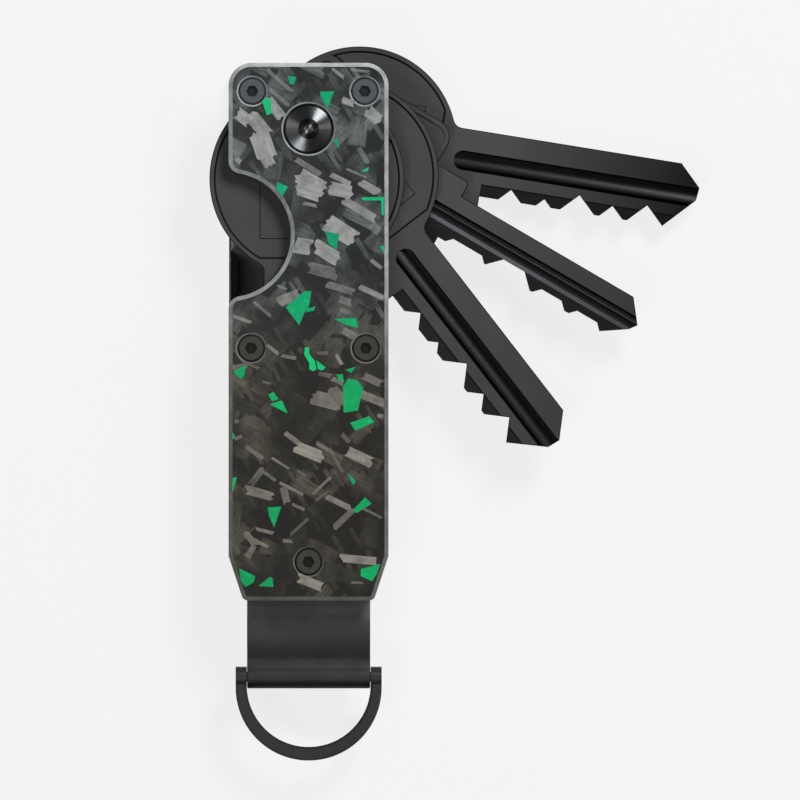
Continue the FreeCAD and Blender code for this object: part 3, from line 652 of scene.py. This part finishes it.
# Each flake: its corners, and how bright it is.
green_flakes = [
    ([(-2.9, 35.7), (-1.7, 35.5), (-2.0, 34.5), (-2.6, 34.5)], 0.05),
    ([(1.6, 33.5), (3.6, 33.5), (2.6, 31.1), (1.7, 32.8)], 0.2),
    ([(-6.5, 32.2), (-5.6, 32.7), (-5.2, 32.0), (-5.2, 30.4), (-5.8, 30.2)], 0.85),
    ([(3.4, 26.7), (4.1, 26.9), (4.3, 25.5)], 0.2),
    ([(7.3, 22.3), (8.4, 23.0), (8.3, 22.4)], 0.7),
    ([(-4.4, 20.9), (-2.9, 20.2), (-3.6, 18.9), (-4.5, 19.9)], 0.1),
    ([(7.3, 18.7), (10.5, 18.8), (10.5, 16.1), (10.2, 16.4), (10.1, 18.3), (7.6, 18.3)], 0.5),
    ([(2.4, 14.0), (4.3, 13.6), (3.9, 11.4), (2.8, 12.3)], 0.1),
    ([(10.0, 11.9), (10.5, 12.0), (10.5, 10.9)], 0.5),
    ([(-0.6, 5.6), (0.4, 5.7), (0.1, 3.7), (-0.5, 2.8), (-1.3, 0.9), (-3.2, 3.4), (-1.6, 4.8)], 0.25),
    ([(-0.3, 3.4), (0.3, 3.3), (1.0, 3.6), (0.7, 2.9), (-0.4, 2.7)], 0.1),
    ([(3.5, 1.8), (6.7, 1.9), (6.9, 0.5), (5.4, 0.9)], 0.3),
    ([(-0.5, -2.2), (0.1, -2.2), (0.1, -3.1), (0.9, -4.1), (1.1, -5.3), (0.6, -5.5), (0.1, -5.2),
      (0.1, -4.3), (-0.6, -3.2)], 0.8),
    ([(1.1, -4.0), (2.4, -5.0), (1.9, -5.4), (1.3, -5.2)], 0.7),
    ([(5.1, -5.3), (6.6, -4.9), (5.9, -5.8)], 0.1),
    ([(3.9, -6.0), (4.8, -5.9), (4.9, -7.2), (4.2, -6.7)], 0.1),
    ([(5.6, -6.5), (6.8, -6.8), (7.6, -7.8), (6.9, -11.0), (4.9, -11.3), (4.8, -7.6)], 0.3),
    ([(5.8, -12.7), (8.5, -11.8), (9.2, -12.6), (6.5, -13.8)], 0.45),
    ([(-10.5, -5.6), (-8.7, -4.6), (-9.0, -6.2), (-9.5, -6.6)], 0.15),
    ([(-5.6, -8.8), (-4.9, -8.4), (-4.2, -9.4), (-5.1, -9.7)], 0.25),
    ([(-5.4, -10.1), (-3.7, -9.6), (-2.9, -11.4), (-3.5, -11.1)], 0.35),
    ([(-10.6, -14.0), (-10.3, -14.5), (-10.6, -15.1)], 0.6),
    ([(-10.6, -20.4), (-10.0, -20.3), (-10.6, -22.4)], 0.6),
    ([(-5.7, -24.5), (-3.8, -24.4), (-4.8, -27.3), (-5.5, -25.7)], 0.2),
    ([(5.4, -19.6), (6.6, -20.9), (6.2, -21.4)], 0.1),
    ([(6.2, -24.9), (7.9, -23.1), (8.8, -24.0), (6.7, -25.3)], 0.2),
    ([(-9.7, -33.0), (-7.4, -34.1), (-7.7, -35.0), (-8.8, -35.6), (-9.4, -34.8)], 0.1),
    ([(-7.0, -35.5), (-5.4, -34.2), (-5.0, -34.4), (-4.9, -35.6)], 0.1),
    ([(7.3, -33.1), (10.0, -32.4), (9.6, -33.6), (8.9, -34.8), (7.3, -34.1)], 0.15),
]


def chip_layers(chips):
    """The layer that each chip lies in: over every earlier chip that it may cross."""
    layers = []
    for x, y, length, *_ in chips:
        under = [layer for other, layer in zip(chips, layers)
                 if math.hypot(x - other[0], y - other[1]) < (length + other[2]) / 2]
        layers.append(1 + max(under, default=0))
    return layers


def inlay_base(side):
    """The height, in metres, at which the chips and flakes of a face start."""
    face = front_face if side > 0 else rear_face
    return (face - side * inlay_sink) * mm


def carbon_chip(x, y, length, width, tilt, shown, side, layer):
    """One chip of tow on the front face (side 1) or the rear face (side -1), with ragged ends."""
    strands = max(2, round(width / strand_wide))
    bpy.ops.mesh.primitive_grid_add(x_subdivisions=1, y_subdivisions=strands, size=1,
                                    location=(x * mm, y * mm, inlay_base(side)),
                                    rotation=(0, 0, math.radians(tilt)))
    chip = bpy.context.object
    chip.scale = (length * mm, width * mm, 1)
    ragged = min(end_notch, end_notch_by_width * width, end_notch_by_length * length) / length
    for end in (-1, 1):
        drift = random.uniform(-ragged, ragged)
        corners = [vertex for vertex in chip.data.vertices if vertex.co.x * end > 0]
        for corner in sorted(corners, key=lambda vertex: vertex.co.y):
            corner.co.x += drift
            corner.co.y += random.uniform(-strand_stray, strand_stray) / strands
            drift += random.uniform(-strand_jump, strand_jump) * ragged
            drift = max(-ragged, min(ragged, drift))
    chip.data.uv_layers[0].name = "along"
    thicken(side * (inlay_sink + chip_lift + layer * chip_step))
    tag(chip, (length / stored_unit, width / stored_unit, shown))
    return chip


def green_flake(corners, bright, side, order):
    """One flake of foil with the given corners, on the front face (side 1) or the rear face (side -1)."""
    bpy.ops.mesh.primitive_circle_add(vertices=len(corners), radius=mm, fill_type="NGON",
                                      location=(0, 0, inlay_base(side)))
    flake = bpy.context.object
    for vertex, (x, y) in zip(flake.data.vertices, corners):
        vertex.co = (x * mm, y * mm, 0)
    thicken(side * (inlay_sink + flake_lift + order % flake_layers * chip_step))
    tag(flake, (random.random(), bright, 0))
    return flake


def on_plain_face(x, y, clear):
    """Whether a point of the rear face is clear of the edge, the notch and the screws."""
    lowest, highest = scale_low.y + tail_margin + clear, scale_high.y - top_margin - clear
    if abs(x) > flat_half_wide - clear or not lowest < y < highest:
        return False
    holes = [(0, pivot_y, pivot_recess_r), (0, tail_screw_y, screw_recess_r)]
    holes += [(side * hole_x, hole_y, screw_recess_r) for hole_x, hole_y in screw_places for side in (-1, 1)]
    in_notch = math.hypot(x - scale_high.x, y - notch_y) < notch_r + clear
    return not in_notch and all(math.hypot(x - hole_x, y - hole_y) > radius + clear
                                for hole_x, hole_y, radius in holes)


def front_inlays():
    """The chips and the flakes of the front face."""
    chips = [carbon_chip(*chip, 1, layer) for chip, layer in zip(pale_chips, chip_layers(pale_chips))]
    flakes = [green_flake(*flake, 1, order) for order, flake in enumerate(green_flakes)]
    return chips, flakes


def rear_chips():
    """Chips strewn over the rear face."""
    strewn = []
    while len(strewn) < strewn_chip_count:
        x, y = random.uniform(*strewn_chip_x), random.uniform(*strewn_chip_y)
        length, width = random.uniform(*strewn_lengths), random.choice(strewn_widths)
        shown, tilt = random.uniform(*strewn_shown), random.choice(strewn_tilts)
        if on_plain_face(x, y, strewn_chip_clear) and abs(x) < flat_half_wide - length / 2:
            strewn.append((x, y, length, width, tilt, shown))
    return [carbon_chip(*chip, -1, layer) for chip, layer in zip(strewn, chip_layers(strewn))]


def rear_flakes():
    """Flakes strewn over the rear face."""
    flakes = []
    while len(flakes) < strewn_flake_count:
        x, y = random.uniform(*strewn_flake_x), random.uniform(*strewn_flake_y)
        radius, count = random.uniform(*strewn_radii), random.choice(strewn_corners)
        start = random.uniform(0, 2 * math.pi)
        corners = []
        for i in range(count):
            angle = start + 2 * math.pi * i / count
            reach = radius * random.uniform(*strewn_reach)
            corners.append((x + reach * math.cos(angle), y + strewn_squash * reach * math.sin(angle)))
        if all(on_plain_face(corner_x, corner_y, strewn_flake_clear) for corner_x, corner_y in corners):
            bright = random.uniform(*strewn_bright)
            flakes.append(green_flake(corners, bright, -1, len(flakes)))
    return flakes


def scale_inlays():
    """The chips and flakes of both scales, joined into one piece for each kind and face."""
    random.seed(strewn_seed)
    front_chips, front_flakes = front_inlays()
    strewn_chips, strewn_flakes = rear_chips(), rear_flakes()
    tow, foil = tow_chip_finish(), flake_finish()
    for name, pieces, material in (
        ("front_carbon_chips", front_chips, tow), ("front_green_flakes", front_flakes, foil),
        ("rear_carbon_chips", strewn_chips, tow), ("rear_green_flakes", strewn_flakes, foil),
    ):
        piece = join(pieces, name)
        piece.data.materials.clear()
        piece.data.materials.append(material)
        turn_outwards(piece)
        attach(piece, "case")


# Strap

def strap_profile():
    """The strap's middle line from its front tail round the pin to its rear tail, as (y, z) in mm."""
    low, high = box_mm("strap")
    pin_low, pin_high = box_mm("ring_pin")
    pin_z = (pin_low.z + pin_high.z) / 2
    ring_y = (pin_low.y + pin_high.y) / 2
    thick = 0.9
    loop_r = ring_y - low.y - thick / 2
    tail_w = (high.z - low.z) / 2 - thick / 2
    pinch_w, pinch_r, slope = 0.5, 2.0, math.radians(34)
    bend_r = (tail_w - pinch_w) / (1 - math.cos(slope)) - pinch_r
    reach = pinch_r + loop_r
    pinch_y = ring_y + math.sqrt(reach ** 2 - (pinch_r + pinch_w) ** 2)
    bend_y = pinch_y + (bend_r + pinch_r) * math.sin(slope)
    wrap = math.atan2(pinch_y - ring_y, pinch_w + pinch_r)
    side = []
    straight_steps, bend_steps, pinch_steps, loop_steps = 14, 14, 12, 18
    for i in range(straight_steps):
        side.append((high.y + (bend_y - high.y) * i / straight_steps, tail_w))
    for i in range(bend_steps):
        turn = slope * i / bend_steps
        side.append((bend_y - bend_r * math.sin(turn), tail_w - bend_r + bend_r * math.cos(turn)))
    for i in range(pinch_steps):
        turn = slope - (slope + wrap) * i / pinch_steps
        side.append((pinch_y + pinch_r * math.sin(turn), pinch_w + pinch_r - pinch_r * math.cos(turn)))
    for i in range(loop_steps):
        turn = wrap - (wrap + math.pi / 2) * i / loop_steps
        side.append((ring_y + loop_r * math.sin(turn), loop_r * math.cos(turn)))
    bottom = [(ring_y - loop_r, 0)]
    rear = [(y, -w) for y, w in reversed(side)]
    return [(y, pin_z + w) for y, w in side + bottom + rear], thick


def leather_strap():
    """The folded leather strip round the ring's pin, with rounded edges."""
    line, thick = strap_profile()
    low, high = box_mm("strap")
    half_wide = (high.x - low.x) / 2
    edge_round = 0.25
    deselect()
    bpy.ops.mesh.primitive_grid_add(x_subdivisions=12, y_subdivisions=len(line) - 1, size=1)
    strip = bpy.context.object
    strip.name = "leather_strap"
    rows = sorted({round(vertex.co.y, 6) for vertex in strip.data.vertices})
    row_of = {y: index for index, y in enumerate(rows)}
    for vertex in strip.data.vertices:
        y, z = line[row_of[round(vertex.co.y, 6)]]
        vertex.co = (vertex.co.x * 2 * half_wide * mm, y * mm, z * mm)
    pick(strip)
    walls = strip.modifiers.new("walls", "SOLIDIFY")
    walls.thickness = thick * mm
    walls.offset = 0
    walls.use_even_offset = True
    bpy.ops.object.modifier_apply(modifier="walls")
    edges = strip.modifiers.new("edges", "BEVEL")
    edges.width = edge_round * mm
    edges.segments = 4
    edges.limit_method = "ANGLE"
    edges.angle_limit = 1.0
    bpy.ops.object.modifier_apply(modifier="edges")
    turn_outwards(strip, weld=0.002)
    bpy.ops.object.shade_smooth_by_angle(angle=math.radians(40))
    settle(strip)
    strip.data.materials.append(leather_finish())
    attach(strip, "case")
    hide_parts("strap")


# Floor, light and camera

def pale_floor():
    bpy.ops.mesh.primitive_plane_add(size=8, location=(0, 0, (rear_face - floor_gap) * mm))
    floor = bpy.context.object
    floor.name = "floor"
    finish = Finish("pale_floor", Roughness=0.9, Specular_IOR_Level=0.1)
    finish.set("Base Color", (0.12, 0.12, 0.12, 1))
    finish.set("Emission Color", (1, 1, 1, 1))
    finish.set("Emission Strength", 0.8)
    output = finish.tree.nodes["Material Output"]
    clear = finish.node("BsdfTransparent").outputs[0]
    below = finish.node("NewGeometry").outputs["Backfacing"]
    switch = finish.node("MixShader", (), {0: below, 1: finish.shader.outputs[0], 2: clear})
    finish.feed(output.inputs["Surface"], switch.outputs[0])
    floor.data.materials.append(finish.material)


def softbox(name, azimuth, elevation, wide, high, power):
    """A soft lamp aimed at the case. Azimuth is turned from +X towards +Y."""
    bpy.ops.object.light_add(type="AREA")
    lamp = bpy.context.object
    lamp.name = name
    lamp.data.shape = "RECTANGLE"
    lamp.data.size, lamp.data.size_y = wide, high
    lamp.data.energy = power
    a, e = math.radians(azimuth), math.radians(elevation)
    way = Vector((math.cos(a) * math.cos(e), math.sin(a) * math.cos(e), math.sin(e)))
    lamp.location = Vector(lamp_target) + way * lamp_distance
    lamp.rotation_mode = "QUATERNION"
    lamp.rotation_quaternion = way.to_track_quat("Z", "Y")


def studio_light():
    for name, settings in lamps.items():
        softbox(name, *settings)
    world = bpy.data.worlds.new("studio")
    bpy.context.scene.world = world
    world.use_nodes = True
    tree = world.node_tree
    room = tree.nodes["Background"]
    room.inputs["Color"].default_value = (1, 1, 1, 1)
    room.inputs["Strength"].default_value = room_strength
    backdrop = tree.nodes.new("ShaderNodeBackground")
    backdrop.inputs["Color"].default_value = tone(*[backdrop_level] * 3)
    path = tree.nodes.new("ShaderNodeLightPath")
    mix = tree.nodes.new("ShaderNodeMixShader")
    tree.links.new(path.outputs["Is Camera Ray"], mix.inputs[0])
    tree.links.new(room.outputs[0], mix.inputs[1])
    tree.links.new(backdrop.outputs[0], mix.inputs[2])
    tree.links.new(mix.outputs[0], tree.nodes["World Output"].inputs["Surface"])


def product_camera():
    """A long lens straight above the case, so that the object shows almost without perspective."""
    view_half_wide = 55.788
    view_x, view_y = 12.76, -9.53
    data = bpy.data.cameras.new("camera")
    data.lens = 1500
    data.sensor_width = 36
    rise = view_half_wide * data.lens / (data.sensor_width / 2)
    data.clip_start = 0.1
    data.clip_end = 10
    camera = bpy.data.objects.new("camera", data)
    camera.location = (view_x * mm, view_y * mm, (front_face + rise) * mm)
    bpy.context.scene.collection.objects.link(camera)
    bpy.context.scene.camera = camera
    bpy.context.scene.view_settings.view_transform = "Standard"


deselect()
dress_frame()
scale_inlays()
leather_strap()
pale_floor()
studio_light()
product_camera()
